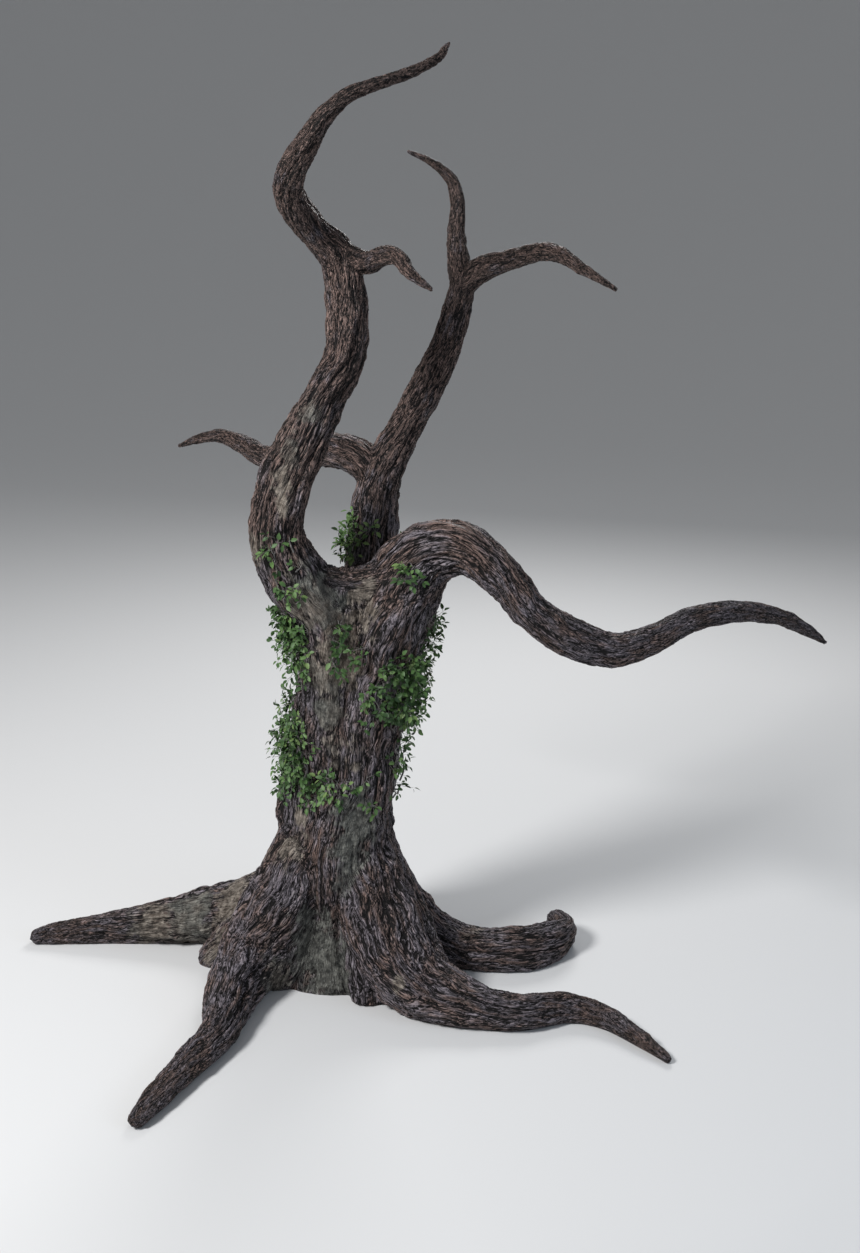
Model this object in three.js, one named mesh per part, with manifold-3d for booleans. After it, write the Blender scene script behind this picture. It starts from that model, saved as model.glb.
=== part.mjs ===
// A dead, twisted tree with its creeper: a fluted trunk that flares into four roots lying on the ground, and three
// stems that wind out of its fork. Millimetres, +Z up, ground at z = 0, the origin on the flat cut under the trunk.
// +X is the side of the long bough, and -Y is the side of the two front roots.
import * as THREE from 'three';
import { mergeVertices } from 'three/addons/utils/BufferGeometryUtils.js';
import Module from 'manifold-3d';

const wasm = await Module();
wasm.setup();

// ---------- driving dimensions

const STATIONS = 2; // rings between one spine point and the next
const JOINT_INSET = 0.25; // each side of a cut across a limb
const FIT = 0.3; // kept between a piece and the one that it is cut round
const SECOND_LOBE = 0.06; // how far a section is from round, as a share of its radius
const THIRD_LOBE = 0.05;
const TWIST = 0.16; // turn of the section's lobes from ring to ring, in radians
const TIP_SHARE = 0.7; // how far a tip stands past its last ring, in radii
const SPIN_START = new THREE.Vector3(0.3, 1, 0.2); // across every limb at its foot

const BARK = { color: 0x3d302b, roughness: 0.9, metalness: 0 };
const LEAF = { color: 0x35592c, roughness: 0.6, metalness: 0 };

// A limb's spine: x, y, z of its centre line and its radius there. The first points lie inside the trunk or the
// parent limb. `trunkTo` is the spine point where the trunk's own part of the limb ends, and `pieces` names
// each piece after that, with the spine point where it ends.
const LIMBS = {
  heart: {
    sides: 14,
    spine: [
      [-50, -10, -90, 430], [-55, 10, 130, 368], [-60, 30, 400, 318], [-66, 10, 710, 328], [-41, 0, 1030, 309],
      [8, 0, 1240, 282], [15, 0, 1600, 266], [38, -25, 2010, 242], [15, -75, 2300, 200],
    ],
    trunkTo: 8,
  },
  toe_back: {
    sides: 10,
    spine: [[0, 120, 800, 190], [10, 300, 430, 235], [30, 480, 150, 200], [50, 640, 20, 120]],
    trunkTo: 3,
  },
  toe_left: {
    sides: 9,
    spine: [[-210, -10, 700, 140], [-440, -20, 350, 172], [-665, -15, 120, 155], [-815, 25, -50, 130]],
    trunkTo: 3,
  },
  toe_front_left: {
    sides: 9,
    spine: [[-190, -60, 700, 140], [-320, -170, 340, 170], [-395, -270, 115, 150], [-420, -310, 10, 110]],
    trunkTo: 3,
  },
  toe_front_right: {
    sides: 9,
    spine: [[50, -60, 700, 140], [110, -225, 350, 175], [150, -380, 120, 165], [165, -430, -20, 135]],
    trunkTo: 3,
  },
  root_left: {
    sides: 10,
    onGround: true,
    spine: [
      [-205, 40, 800, 185], [-365, 120, 410, 200], [-610, 220, 215, 205], [-910, 260, 130, 168],
      [-1240, 240, 100, 128], [-1510, 230, 75, 95], [-1860, 200, 48, 58], [-1950, 185, 35, 40],
    ],
    trunkTo: 3,
    pieces: { root_left_thick: 5, root_left_end: 7 },
  },
  root_front_left: {
    sides: 10,
    onGround: true,
    spine: [
      [-220, -60, 800, 185], [-380, -140, 440, 230], [-560, -330, 190, 200], [-640, -620, 118, 141],
      [-672, -950, 82, 95], [-800, -1230, 62, 75], [-910, -1490, 50, 64], [-975, -1650, 38, 42],
    ],
    trunkTo: 3,
    pieces: { root_front_left_thick: 5, root_front_left_end: 7 },
  },
  root_front_right: {
    sides: 10,
    onGround: true,
    spine: [
      [70, -60, 800, 185], [200, -240, 420, 245], [405, -520, 150, 204], [740, -690, 88, 120],
      [960, -730, 78, 96], [1250, -660, 64, 78], [1440, -730, 52, 64], [1620, -930, 38, 46], [1740, -1100, 22, 22],
    ],
    trunkTo: 2,
    pieces: { root_front_right_thick: 5, root_front_right_end: 8 },
  },
  root_right: {
    sides: 10,
    onGround: true,
    spine: [
      [110, 0, 780, 165], [262, 50, 350, 172], [600, -30, 110, 126], [980, -80, 98, 122],
      [1190, 20, 95, 114], [1290, 170, 92, 84], [1240, 290, 120, 54],
    ],
    trunkTo: 2,
    pieces: { root_right_thick: 4, root_right_hook: 6 },
  },
  bough_right: {
    sides: 10,
    spine: [
      [90, -50, 1250, 170], [120, -60, 1550, 198], [180, -70, 1850, 214], [265, -110, 2170, 222],
      [360, -150, 2410, 200], [500, -200, 2575, 162], [670, -270, 2600, 137], [860, -350, 2466, 112],
      [1010, -400, 2285, 104], [1190, -420, 2160, 104], [1440, -400, 2080, 93], [1650, -340, 2110, 76],
      [1880, -240, 2190, 62], [2140, -130, 2210, 57], [2400, 0, 2150, 46], [2600, 110, 2040, 34],
      [2750, 190, 1930, 13],
    ],
    trunkTo: 4,
    pieces: { bough_right_arch: 7, bough_right_fall: 10, bough_right_sweep: 13, bough_right_tip: 16 },
  },
  stem_left: {
    sides: 10,
    spine: [
      [-100, -50, 1250, 160], [-82, -60, 1550, 181], [-80, -90, 1890, 180], [-110, -130, 2190, 165],
      [-258, -190, 2440, 172], [-338, -230, 2680, 138], [-285, -250, 2940, 126], [-190, -230, 3160, 123],
      [-90, -170, 3370, 106], [10, -60, 3550, 105], [40, 60, 3790, 114], [10, 130, 4060, 104],
    ],
    trunkTo: 4,
    pieces: { stem_left_low: 6, stem_left_middle: 8, stem_left_top: 11 },
  },
  stem_back: {
    sides: 10,
    spine: [
      [120, 30, 1850, 190], [150, 120, 2200, 176], [150, 260, 2520, 138], [170, 360, 2770, 126],
      [235, 435, 2940, 112], [360, 520, 3150, 90], [460, 570, 3340, 90], [560, 590, 3560, 82],
      [640, 590, 3840, 74], [665, 585, 3970, 70],
    ],
    trunkTo: 2,
    pieces: { stem_back_low: 5, stem_back_high: 9 },
  },
  collar: {
    sides: 10,
    spine: [
      [-268, -185, 2450, 150], [-150, -175, 2385, 118], [-30, -165, 2370, 92], [90, -165, 2370, 98],
      [220, -155, 2385, 130], [360, -150, 2425, 172],
    ],
    trunkTo: 5,
  },
  crook: {
    sides: 9,
    spine: [
      [25, 120, 3960, 88], [-20, 115, 4100, 98], [-118, 60, 4212, 84], [-226, -90, 4372, 79],
      [-217, -215, 4502, 70], [-120, -350, 4655, 57], [-20, -420, 4780, 45], [100, -430, 4870, 36],
      [260, -350, 4930, 31], [410, -220, 4990, 28], [520, -80, 5060, 22], [570, 0, 5132, 8],
    ],
    pieces: { crook_low: 3, crook_high: 6, crook_tip: 11 },
  },
  twig: {
    sides: 8,
    spine: [
      [0, 120, 4110, 70], [150, 45, 4065, 60], [230, -40, 4100, 51], [310, -140, 4100, 40],
      [380, -240, 4025, 29], [485, -330, 3950, 11],
    ],
    pieces: { twig: 5 },
  },
  prong_up: {
    sides: 8,
    spine: [
      [650, 590, 3850, 66], [635, 600, 4040, 64], [620, 640, 4180, 52], [630, 720, 4340, 41],
      [600, 780, 4475, 33], [480, 800, 4575, 20], [350, 760, 4630, 7],
    ],
    pieces: { prong_up: 4, prong_up_tip: 6 },
  },
  prong_right: {
    sides: 8,
    spine: [
      [650, 590, 3905, 66], [765, 540, 4003, 73], [862, 470, 4038, 60], [1020, 350, 4090, 49],
      [1130, 230, 4110, 43], [1270, 110, 4035, 31], [1450, -20, 3930, 11],
    ],
    pieces: { prong_right: 4, prong_right_tip: 6 },
  },
  arm_back: {
    sides: 8,
    spine: [
      [225, 410, 2780, 98], [70, 460, 2950, 106], [-130, 560, 2985, 96], [-330, 650, 2925, 84],
      [-500, 750, 2910, 66], [-640, 850, 2970, 50], [-800, 950, 3000, 37], [-950, 1010, 2965, 26],
      [-1060, 1040, 2920, 9],
    ],
    pieces: { arm_back_low: 2, arm_back_middle: 5, arm_back_tip: 8 },
  },
};

// The creeper's masses of leaves: a centre, and half sizes along X, Y and Z. Each is cut round the wood.
const CREEPER = {
  creeper_left_upper: { centre: [-235, -105, 2000], half: [180, 200, 270] },
  creeper_left_lower: { centre: [-315, -70, 1380], half: [190, 220, 300] },
  creeper_front: { centre: [290, -180, 1770], half: [220, 190, 330] },
  creeper_valley: { centre: [30, -260, 2050], half: [130, 100, 190] },
  creeper_right: { centre: [360, 20, 1930], half: [180, 230, 430] },
  creeper_right_lower: { centre: [270, -60, 1200], half: [130, 170, 250] },
  creeper_belt: { centre: [-20, -230, 1180], half: [270, 150, 110] },
  creeper_fork: { centre: [125, 190, 2480], half: [175, 170, 170] },
  creeper_stem: { centre: [-290, -330, 2500], half: [90, 130, 230] },
  creeper_bough: { centre: [375, -270, 2440], half: [90, 110, 170] },
  creeper_back_upper: { centre: [0, 230, 1900], half: [270, 170, 340] },
  creeper_back_lower: { centre: [-80, 240, 1330], half: [260, 170, 250] },
};
const CREEPER_DETAIL = 2; // how finely a mass is divided before its lumps are raised
const LUMP = 0.13; // how far the lumps of a mass stand out, as a share of its size
const LUMP_WAVES = [5.1, 4.3, 6.2]; // lumps along each axis of a mass

// ---------- solids

// A closed three.js geometry as a manifold-3d solid.
function solidOf(geometry) {
  const bare = geometry.clone();
  bare.deleteAttribute('normal');
  bare.deleteAttribute('uv');
  const merged = mergeVertices(bare, 1e-3);
  return new wasm.Manifold(
    new wasm.Mesh({
      numProp: 3,
      vertProperties: new Float32Array(merged.attributes.position.array),
      triVerts: new Uint32Array(merged.index.array),
    }),
  );
}

// A manifold-3d solid as a three.js geometry.
function geometryOf(solid) {
  const { numProp, vertProperties, triVerts } = solid.getMesh();
  const points = new Float32Array((vertProperties.length / numProp) * 3);
  for (let i = 0; i * numProp < vertProperties.length; i++) {
    points.set(vertProperties.subarray(i * numProp, i * numProp + 3), i * 3);
  }
  const geometry = new THREE.BufferGeometry();
  geometry.setAttribute('position', new THREE.BufferAttribute(points, 3));
  geometry.setIndex(new THREE.BufferAttribute(triVerts, 1));
  geometry.computeVertexNormals();
  return geometry;
}

// A limb's rings: centre, direction, the two axes across it, radius, and how far its lobes have turned.
function ringsOf({ spine }) {
  const path = new THREE.CatmullRomCurve3(spine.map(([x, y, z]) => new THREE.Vector3(x, y, z)));
  const girth = new THREE.SplineCurve(spine.map(([, , , r], i) => new THREE.Vector2(i, r)));
  const count = (spine.length - 1) * STATIONS;
  const rings = [];
  let across = SPIN_START;
  for (let i = 0; i <= count; i++) {
    const along = path.getTangent(i / count);
    across = across.clone().addScaledVector(along, -across.dot(along)).normalize();
    const beyond = across.clone().cross(along);
    const radius = girth.getPoint(i / count).y;
    rings.push({ centre: path.getPoint(i / count), along, across, beyond, radius, turn: i * TWIST });
  }
  return rings;
}

// The solid between two spine points of a limb. A cylinder of unit size is bent onto the limb's rings. `swell`
// makes it that much larger all over, for cutting its neighbours.
function stretchOf(limb, from, to, swell = 0) {
  const all = ringsOf(limb);
  const rings = all.slice(from * STATIONS, to * STATIONS + 1);
  const last = rings.length - 1;
  const isTip = to === limb.spine.length - 1;
  const shape = new THREE.CylinderGeometry(1, 1, 1, limb.sides, last);
  const place = shape.attributes.position;
  const point = new THREE.Vector3();
  for (let i = 0; i < place.count; i++) {
    const x = place.getX(i);
    const z = place.getZ(i);
    const station = Math.round((place.getY(i) + 0.5) * last);
    const { centre, along, across, beyond, radius, turn } = rings[station];
    const angle = Math.atan2(z, x) + turn;
    const lobes = 1 + SECOND_LOBE * Math.cos(2 * angle) + THIRD_LOBE * Math.cos(3 * angle + 1);
    const reach = radius * lobes + swell;
    point.copy(centre).addScaledVector(across, x * reach).addScaledVector(beyond, z * reach);
    if (station === 0) point.addScaledVector(along, JOINT_INSET - swell);
    if (station === last && !isTip) point.addScaledVector(along, swell - JOINT_INSET);
    if (station === last && isTip && Math.hypot(x, z) < 0.5) point.addScaledVector(along, radius * TIP_SHARE);
    const lowest = limb.onGround ? 0 : -Infinity;
    place.setXYZ(i, point.x, point.y, Math.max(point.z, lowest));
  }
  return solidOf(shape);
}

function largestBody(solid) {
  return solid.decompose().reduce((most, body) => (body.volume() > most.volume() ? body : most));
}

// The trunk: the heart, with the first part of every limb that grows out of it, cut flat at ground level.
function trunkOf(swell) {
  const belowGround = solidOf(new THREE.BoxGeometry(8000, 8000, 2000).translate(0, 0, -1000));
  return Object.values(LIMBS)
    .filter((limb) => limb.trunkTo)
    .map((limb) => stretchOf({ ...limb, onGround: false }, 0, limb.trunkTo, swell))
    .reduce((joined, stretch) => joined.add(stretch))
    .subtract(belowGround);
}

// One mass of the creeper: a ball stretched to its half sizes, with lumps raised on it.
function massOf({ centre, half }, swell) {
  const ball = new THREE.IcosahedronGeometry(1, CREEPER_DETAIL);
  const place = ball.attributes.position;
  const point = new THREE.Vector3();
  for (let i = 0; i < place.count; i++) {
    point.fromBufferAttribute(place, i);
    const waves = LUMP_WAVES.map((n, axis) => Math.sin(n * point.getComponent(axis) + centre[axis]));
    const lump = 1 + LUMP * (waves[0] * waves[1] + waves[1] * waves[2] + waves[2] * waves[0]);
    const [x, y, z] = centre.map((c, axis) => c + (half[axis] * lump + swell) * point.getComponent(axis));
    place.setXYZ(i, x, y, z);
  }
  return solidOf(ball);
}

// ---------- the tree, where each piece is cut round those placed before it

const tree = new THREE.Group();
tree.name = 'dead_tree';
const placed = [];

function place(name, limbName, finish, grow) {
  const inTheWay = placed.filter((other) => other.limbName !== limbName).map((other) => other.swollen);
  const fitted = inTheWay.reduce((rest, other) => rest.subtract(other), grow(0));
  placed.push({ limbName, swollen: grow(FIT) });
  const mesh = new THREE.Mesh(geometryOf(largestBody(fitted)), new THREE.MeshStandardMaterial(finish));
  mesh.name = name;
  tree.add(mesh);
}

place('trunk', 'trunk', BARK, trunkOf);

for (const [limbName, limb] of Object.entries(LIMBS)) {
  let from = limb.trunkTo || 0;
  for (const [name, to] of Object.entries(limb.pieces || {})) {
    const start = from;
    place(name, limbName, BARK, (swell) => stretchOf(limb, start, to, swell));
    from = to;
  }
}

for (const [name, mass] of Object.entries(CREEPER)) {
  place(name, name, LEAF, (swell) => massOf(mass, swell));
}

export default tree;
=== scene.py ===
# %% [markdown]
# # A dead, twisted tree with its creeper
#
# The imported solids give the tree's size and place. They are plain: a faceted trunk, boughs and roots, and
# closed lumps where the creeper grows. Here each gets what the real one has: wood that flows from limb to
# limb, bark with true relief, woody runners, and leaves.

# %% Load the frame
import itertools
import math
import random

import bmesh
import bpy
import numpy as np
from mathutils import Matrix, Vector
from mathutils.bvhtree import BVHTree


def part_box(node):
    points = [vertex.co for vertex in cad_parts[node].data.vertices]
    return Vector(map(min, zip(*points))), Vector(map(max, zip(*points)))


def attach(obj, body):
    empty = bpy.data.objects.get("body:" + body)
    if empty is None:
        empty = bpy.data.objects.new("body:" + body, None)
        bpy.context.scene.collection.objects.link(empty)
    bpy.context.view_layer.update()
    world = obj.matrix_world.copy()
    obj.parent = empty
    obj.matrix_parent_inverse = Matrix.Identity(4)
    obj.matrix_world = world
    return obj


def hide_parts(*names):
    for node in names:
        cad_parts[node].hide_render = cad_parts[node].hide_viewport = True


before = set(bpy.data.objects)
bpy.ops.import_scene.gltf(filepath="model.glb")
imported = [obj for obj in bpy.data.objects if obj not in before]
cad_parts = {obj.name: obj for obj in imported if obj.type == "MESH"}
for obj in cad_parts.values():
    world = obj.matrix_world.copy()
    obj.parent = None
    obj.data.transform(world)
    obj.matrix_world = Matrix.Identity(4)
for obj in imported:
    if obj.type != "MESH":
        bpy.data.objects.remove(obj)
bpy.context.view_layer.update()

bpy.ops.object.select_all(action="DESELECT")  # an operator acts on all that is selected
MM = 0.001
print("nodes:", len(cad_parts))

# %% [markdown]
# The camera stands a little above the middle of the tree and looks down on it, so that the roots spread out
# towards us. The light is a large soft panel on the upper left, a weak bluish one on the right and one
# behind, in a pale room. The floor sweeps up far behind the tree, so that it has no edge.

# %% Camera and lights
bpy.ops.object.camera_add(location=(0.476, -7.829, 4.479), rotation=(math.radians(73), 0, 0))
bpy.context.object.data.lens = 42
bpy.context.scene.camera = bpy.context.object

MIDDLE = Vector((0, 0, 2))  # the lights point here


def soft_panel(name, place, size, watts, colour):
    bpy.ops.object.light_add(type="AREA", location=place)
    panel = bpy.context.object
    panel.name = name
    panel.rotation_euler = (MIDDLE - Vector(place)).to_track_quat("-Z", "Y").to_euler()
    panel.data.shape = "DISK"
    panel.data.size = size
    panel.data.energy = watts
    panel.data.color = colour


soft_panel("key", (-6.3, -5.2, 8.8), 3.0, 1350, (1, 1, 1))
soft_panel("fill", (7.0, -4.5, 4.0), 4.0, 130, (0.70, 0.83, 1.0))
soft_panel("back", (2.0, 7.5, 7.0), 4.0, 420, (1, 1, 1))

world = bpy.data.worlds.new("pale_room")
world.use_nodes = True
world.node_tree.nodes["Background"].inputs["Color"].default_value = (0.93, 0.96, 1.0, 1)
world.node_tree.nodes["Background"].inputs["Strength"].default_value = 0.32
bpy.context.scene.world = world
bpy.context.scene.view_settings.view_transform = "Standard"

# %% Floor
FLOOR_SIZE = 160
FLOOR_SQUARES = 80  # along each side
FLAT_REACH = 17.0  # the floor is level this far out, and then it sweeps up
SWEEP = 90  # the larger, the more gently it does

bpy.ops.mesh.primitive_grid_add(x_subdivisions=FLOOR_SQUARES, y_subdivisions=FLOOR_SQUARES, size=FLOOR_SIZE)
floor = bpy.context.object
floor.name = "floor"
for vertex in floor.data.vertices:
    beyond = max(0.0, vertex.co.length - FLAT_REACH)
    vertex.co.z = beyond**2 / SWEEP
bpy.ops.object.shade_smooth()
print("floor:", len(floor.data.polygons), "squares")

# %% [markdown]
# Shader nodes are written as sums. `Wire` wraps a socket and overloads the operators, so that `1 - mask`
# adds its own Math node. `Shader.add` makes any other node, and gives one of its outputs.

# %% Sums of sockets
class Wire:
    """A socket that can be used in a sum."""

    def __init__(self, shader, socket):
        self.shader = shader
        self.socket = socket

    def maths(self, operation, *values):
        sockets = dict(enumerate(values))
        return self.shader.add("ShaderNodeMath", {"operation": operation}, sockets, "Value")

    def __add__(self, other):
        return self.maths("ADD", self, other)

    def __sub__(self, other):
        return self.maths("SUBTRACT", self, other)

    def __rsub__(self, other):
        return self.maths("SUBTRACT", other, self)

    def __mul__(self, other):
        return self.maths("MULTIPLY", self, other)

    __rmul__ = __mul__

    def between(self, low, high):
        """0 below `low`, 1 above `high`, and smooth from one to the other."""
        sockets = {"Value": self, "From Min": low, "From Max": high}
        settings = {"interpolation_type": "SMOOTHSTEP"}
        return self.shader.add("ShaderNodeMapRange", settings, sockets, "Result")


# %% Materials in the making
class Shader:
    """A material in the making, with a Principled BSDF whose sockets `surface` sets."""

    def __init__(self, name):
        self.material = bpy.data.materials.new(name)
        self.material.use_nodes = True
        self.nodes = self.material.node_tree.nodes
        self.principled = self.nodes["Principled BSDF"]

    def join(self, value, socket):
        if isinstance(value, Wire):
            self.material.node_tree.links.new(value.socket, socket)
        else:
            socket.default_value = value

    def add(self, kind, settings, sockets, output):
        """An output of a new node, by its name or its number."""
        node = self.nodes.new(kind)
        for name, value in settings.items():
            setattr(node, name, value)
        for name, value in sockets.items():
            self.join(value, node.inputs[name])
        return Wire(self, node.outputs[output])

    def attribute(self, name, output="Fac"):
        return self.add("ShaderNodeAttribute", {"attribute_name": name}, {}, output)

    def place(self):
        return self.add("ShaderNodeTexCoord", {}, {}, "Object")

    def noise(self, where, scale, detail=3.0, roughness=0.55):
        sockets = {"Vector": where, "Scale": scale, "Detail": detail, "Roughness": roughness}
        return self.add("ShaderNodeTexNoise", {}, sockets, "Fac")

    def stretch(self, vector, factors):
        sockets = {0: vector, 1: factors}
        return self.add("ShaderNodeVectorMath", {"operation": "MULTIPLY"}, sockets, "Vector")

    def mix(self, share, first, second):
        """`first` where `share` is 0, and `second` where it is 1, for colours."""
        return self.add("ShaderNodeMix", {"data_type": "RGBA"}, {0: share, 6: first, 7: second}, 2)

    def surface(self, **sockets):
        for name, value in sockets.items():
            self.join(value, self.principled.inputs[name.replace("_", " ")])
        return self.material


# %% The floor's material
pale = Shader("pale_floor")
floor.data.materials.append(pale.surface(Base_Color=(0.62, 0.62, 0.62, 1), Roughness=0.9))

# %% [markdown]
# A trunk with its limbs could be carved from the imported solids, but they are faceted, and they don't say
# which way the grain runs. So each limb is drawn again from its own centre line, the one that its solid was
# made from: x, y, z and radius in millimetres. The centre line also tells the bark which way to run.

# %% Centre lines of the limbs
LIMBS = {
    "heart": [
        (-50, -10, -90, 430), (-55, 10, 130, 368), (-60, 30, 400, 318), (-66, 10, 710, 328),
        (-41, 0, 1030, 309), (8, 0, 1240, 282), (15, 0, 1600, 266), (38, -25, 2010, 242),
        (15, -75, 2300, 200),
    ],
    "toe_back": [(0, 120, 800, 190), (10, 300, 430, 235), (30, 480, 150, 200), (50, 640, 20, 120)],
    "toe_left": [(-210, -10, 700, 140), (-440, -20, 350, 172), (-665, -15, 120, 155), (-815, 25, -50, 130)],
    "toe_front_left": [
        (-190, -60, 700, 140), (-320, -170, 340, 170), (-395, -270, 115, 150), (-420, -310, 10, 110),
    ],
    "toe_front_right": [
        (50, -60, 700, 140), (110, -225, 350, 175), (150, -380, 120, 165), (165, -430, -20, 135),
    ],
    "root_left": [
        (-205, 40, 800, 185), (-365, 120, 410, 200), (-610, 220, 215, 205), (-910, 260, 130, 168),
        (-1240, 240, 100, 128), (-1510, 230, 75, 95), (-1860, 200, 48, 58), (-1950, 185, 35, 40),
    ],
    "root_front_left": [
        (-220, -60, 800, 185), (-380, -140, 440, 230), (-560, -330, 190, 200), (-640, -620, 118, 141),
        (-672, -950, 82, 95), (-800, -1230, 62, 75), (-910, -1490, 50, 64), (-975, -1650, 38, 42),
    ],
    "root_front_right": [
        (70, -60, 800, 185), (200, -240, 420, 245), (405, -520, 150, 204), (740, -690, 88, 120),
        (960, -730, 78, 96), (1250, -660, 64, 78), (1440, -730, 52, 64), (1620, -930, 38, 46),
        (1740, -1100, 22, 22),
    ],
    "root_right": [
        (110, 0, 780, 165), (262, 50, 350, 172), (600, -30, 110, 126), (980, -80, 98, 122),
        (1190, 20, 95, 114), (1290, 170, 92, 84), (1240, 290, 120, 54),
    ],
    "bough_right": [
        (90, -50, 1250, 170), (120, -60, 1550, 198), (180, -70, 1850, 214), (265, -110, 2170, 222),
        (360, -150, 2410, 200), (500, -200, 2575, 162), (670, -270, 2600, 137), (860, -350, 2466, 112),
        (1010, -400, 2285, 104), (1190, -420, 2160, 104), (1440, -400, 2080, 93),
        (1650, -340, 2110, 76), (1880, -240, 2190, 62), (2140, -130, 2210, 57), (2400, 0, 2150, 46),
        (2600, 110, 2040, 34), (2750, 190, 1930, 13),
    ],
    "stem_left": [
        (-100, -50, 1250, 160), (-82, -60, 1550, 181), (-80, -90, 1890, 180), (-110, -130, 2190, 165),
        (-258, -190, 2440, 172), (-338, -230, 2680, 138), (-285, -250, 2940, 126),
        (-190, -230, 3160, 123), (-90, -170, 3370, 106), (10, -60, 3550, 105), (40, 60, 3790, 114),
        (10, 130, 4060, 104),
    ],
    "stem_back": [
        (120, 30, 1850, 190), (150, 120, 2200, 176), (150, 260, 2520, 138), (170, 360, 2770, 126),
        (235, 435, 2940, 112), (360, 520, 3150, 90), (460, 570, 3340, 90), (560, 590, 3560, 82),
        (640, 590, 3840, 74), (665, 585, 3970, 70),
    ],
    "collar": [
        (-268, -185, 2450, 150), (-150, -175, 2385, 118), (-30, -165, 2370, 92), (90, -165, 2370, 98),
        (220, -155, 2385, 130), (360, -150, 2425, 172),
    ],
    "crook": [
        (25, 120, 3960, 88), (-20, 115, 4100, 98), (-118, 60, 4212, 84), (-226, -90, 4372, 79),
        (-217, -215, 4502, 70), (-120, -350, 4655, 57), (-20, -420, 4780, 45), (100, -430, 4870, 36),
        (260, -350, 4930, 31), (410, -220, 4990, 28), (520, -80, 5060, 22), (570, 0, 5132, 8),
    ],
    "twig": [
        (0, 120, 4110, 70), (150, 45, 4065, 60), (230, -40, 4100, 51), (310, -140, 4100, 40),
        (380, -240, 4025, 29), (485, -330, 3950, 11),
    ],
    "prong_up": [
        (650, 590, 3850, 66), (635, 600, 4040, 64), (620, 640, 4180, 52), (630, 720, 4340, 41),
        (600, 780, 4475, 33), (480, 800, 4575, 20), (350, 760, 4630, 7),
    ],
    "prong_right": [
        (650, 590, 3905, 66), (765, 540, 4003, 73), (862, 470, 4038, 60), (1020, 350, 4090, 49),
        (1130, 230, 4110, 43), (1270, 110, 4035, 31), (1450, -20, 3930, 11),
    ],
    "arm_back": [
        (225, 410, 2780, 98), (70, 460, 2950, 106), (-130, 560, 2985, 96), (-330, 650, 2925, 84),
        (-500, 750, 2910, 66), (-640, 850, 2970, 50), (-800, 950, 3000, 37), (-950, 1010, 2965, 26),
        (-1060, 1040, 2920, 9),
    ],
}
FINE = 10  # rings between one point of a centre line and the next
SPIN_START = np.array([0.3, 1.0, 0.2])
TWIST = 0.32  # turn of a section's lobes from point to point
TIP_SHARE = 0.7  # how far a tip stands past its last ring, in radii
PLATE_WIDTH = 0.017  # a ridge of bark on a thick limb
PLATE_LENGTH = 0.12
THICK = 0.15  # a limb of this radius or more has full-size plates
LEAST_SIZE = 0.42  # plates are never smaller than this share of full size
GRAIN_TURN = 0.05  # how the grain winds round the limb, in radians for each radius of length
print("limbs:", len(LIMBS))


# %% Strands
def smooth_path(points, places, power):
    """Places on a Catmull-Rom curve: `power` 0.5 keeps it from looping, and 0 is for plain numbers."""
    first = np.minimum(places.astype(int), len(points) - 2)
    share = (places - first)[:, None]
    padded = np.vstack([2 * points[:1] - points[1:2], points, 2 * points[-1:] - points[-2:-1]])
    a, b, c, d = (padded[first + k] for k in range(4))
    ab, bc, cd = (np.linalg.norm(q - p, axis=1, keepdims=True) ** power for p, q in ((a, b), (b, c), (c, d)))
    leave = ((b - a) / ab - (c - a) / (ab + bc) + (c - b) / bc) * bc
    arrive = ((c - b) / bc - (d - b) / (bc + cd) + (d - c) / cd) * bc
    return (
        (2 * share**3 - 3 * share**2 + 1) * b
        + (share**3 - 2 * share**2 + share) * leave
        + (3 * share**2 - 2 * share**3) * c
        + (share**3 - share**2) * arrive
    )


def running_total(steps):
    return np.concatenate([[0], np.cumsum(steps)])


class Strand:
    """A centre line sampled finely: places, directions along and across, and its length in three measures."""

    def __init__(self, name, points):
        spine = np.array(points, float) * MM
        places = np.linspace(0, len(spine) - 1, (len(spine) - 1) * FINE + 1)
        self.name = name
        self.centre = smooth_path(spine[:, :3], places, 0.5)
        self.radius = smooth_path(spine[:, 3:], places, 0)[:, 0]
        along = np.gradient(self.centre, axis=0)
        self.along = along / np.linalg.norm(along, axis=1, keepdims=True)
        self.across = np.zeros_like(self.along)
        side = SPIN_START
        for i, way in enumerate(self.along):
            side = side - way * side.dot(way)
            side = side / np.linalg.norm(side)
            self.across[i] = side
        self.beyond = np.cross(self.across, self.along)
        self.turn = places * TWIST
        steps = np.linalg.norm(np.diff(self.centre, axis=0), axis=1)
        middle = (self.radius[1:] + self.radius[:-1]) / 2
        self.girth_size = np.clip(self.radius / THICK, LEAST_SIZE, 1)  # how large the plates are here
        size = np.clip(middle / THICK, LEAST_SIZE, 1)
        self.length = running_total(steps)
        self.length_in_radii = running_total(steps / middle)
        self.length_in_plates = running_total(steps / (PLATE_LENGTH * size))


strands = [Strand(name, points) for name, points in LIMBS.items()]
print("strands:", {strand.name: round(strand.length[-1], 2) for strand in strands})

# %% [markdown]
# A sphere has the two things that a bough needs: rings, and a closed end at each pole. So each limb starts
# as a sphere with a ring for each place on its centre line, and its rings are moved there. The section is
# not quite round.

# %% Helpers for meshes
SIDES = 28
SECOND_LOBE = 0.06
THIRD_LOBE = 0.05


def read_all(items, field, kind, size=1):
    """One field of every item, as an array."""
    values = np.empty(len(items) * size, kind)
    items.foreach_get(field, values)
    return values


def points_of(mesh):
    return read_all(mesh.vertices, "co", np.float32, 3).reshape(-1, 3).astype(float)


def move_points(mesh, points):
    mesh.vertices.foreach_set("co", np.ascontiguousarray(points, np.float32).ravel())
    mesh.update()


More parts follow.
